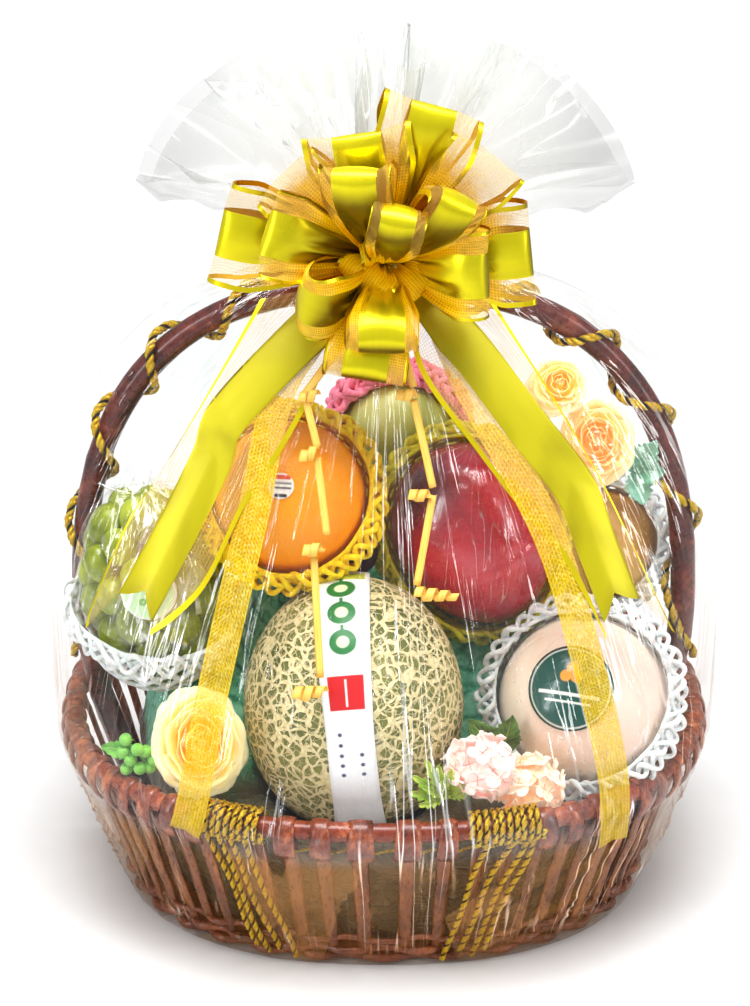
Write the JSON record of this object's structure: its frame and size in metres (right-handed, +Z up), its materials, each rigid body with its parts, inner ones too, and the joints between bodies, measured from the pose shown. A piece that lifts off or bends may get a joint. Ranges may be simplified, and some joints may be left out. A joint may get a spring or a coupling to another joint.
{
  "type": "fruit gift basket",
  "caption": "Oval splint basket with a hoop handle, filled with fruit in foam nets and silk flowers, wrapped in clear film tied at the top under a ribbon bow.",
  "frame": {"origin": "centre of the underside, on the surface the basket stands on", "axes": "+Z up, -Y to the front, where the bow and the fruit face, +X to the right seen from the front"},
  "size_m": [0.4484, 0.3886, 0.5917],
  "materials": {
    "willow": "red-brown lacquer, glossy",
    "gold_cord": "twisted gold and dark thread",
    "film": "clear, crinkled",
    "satin": "satin, yellow gold",
    "organza": "sheer, gold",
    "tissue": "crumpled, mint green",
    "melon_rind": "netted rind, matte",
    "paper": "smooth, white",
    "peach_skin": "pale, under crinkled wrap",
    "mango_red": "dark crimson, glossy",
    "orange_skin": "orange, glossy",
    "mango_green": "yellow green, glossy",
    "pear_skin": "golden brown, fine specks",
    "plum_skin": "dark purple",
    "grape_skin": "green, translucent",
    "net_white": "foam",
    "net_yellow": "foam",
    "net_lime": "foam",
    "net_pink": "foam",
    "label_dark": "glossy sticker",
    "label_pale": "glossy sticker",
    "rose_petal": "silk, cream to apricot",
    "pink_petal": "silk, pale pink",
    "green_leaf": "silk, green"
  },
  "bodies": {
    "root": {"basket_base": "willow", "basket_wall": "willow", "basket_rim": "willow", "handle": "willow", "handle_cord": "gold_cord", "lashing_left": "gold_cord", "lashing_right": "gold_cord", "melon": "melon_rind", "melon_band": "paper", "peach": "peach_skin", "peach_label": "label_dark", "peach_net": "net_white", "red_mango": "mango_red", "mango_net": "net_lime", "orange": "orange_skin", "orange_sticker": "paper", "orange_net": "net_yellow", "green_mango": "mango_green", "pink_net": "net_pink", "pear": "pear_skin", "pear_sticker": "paper", "pear_net": "net_white", "plum": "plum_skin", "grapes": "grape_skin", "grape_label": "label_pale", "grape_net": "net_white", "rose_front": "rose_petal", "rose_right": "rose_petal", "rose_top": "rose_petal", "hydrangea_pink": "pink_petal", "hydrangea_peach": "pink_petal", "berry_sprig": "green_leaf", "leaves_right": "green_leaf", "leaf_sprig": "green_leaf", "broad_leaves": "green_leaf", "tissue_liner": "tissue", "film_wrap": "film", "neck_tie": "satin", "bow_knot": "satin", "bow_loop_01": "satin", "bow_loop_02": "satin", "bow_loop_03": "satin", "bow_loop_04": "satin", "bow_loop_05": "satin", "bow_loop_06": "satin", "bow_loop_07": "satin", "bow_loop_08": "satin", "bow_loop_09": "satin", "bow_loop_10": "satin", "bow_loop_11": "satin", "bow_loop_12": "satin", "bow_loop_13": "satin", "bow_loop_14": "satin", "tail_left": "satin", "tail_right": "satin", "organza_left": "organza", "organza_right": "organza", "curl_left": "organza", "curl_right": "organza"}
  },
  "joints": []
}
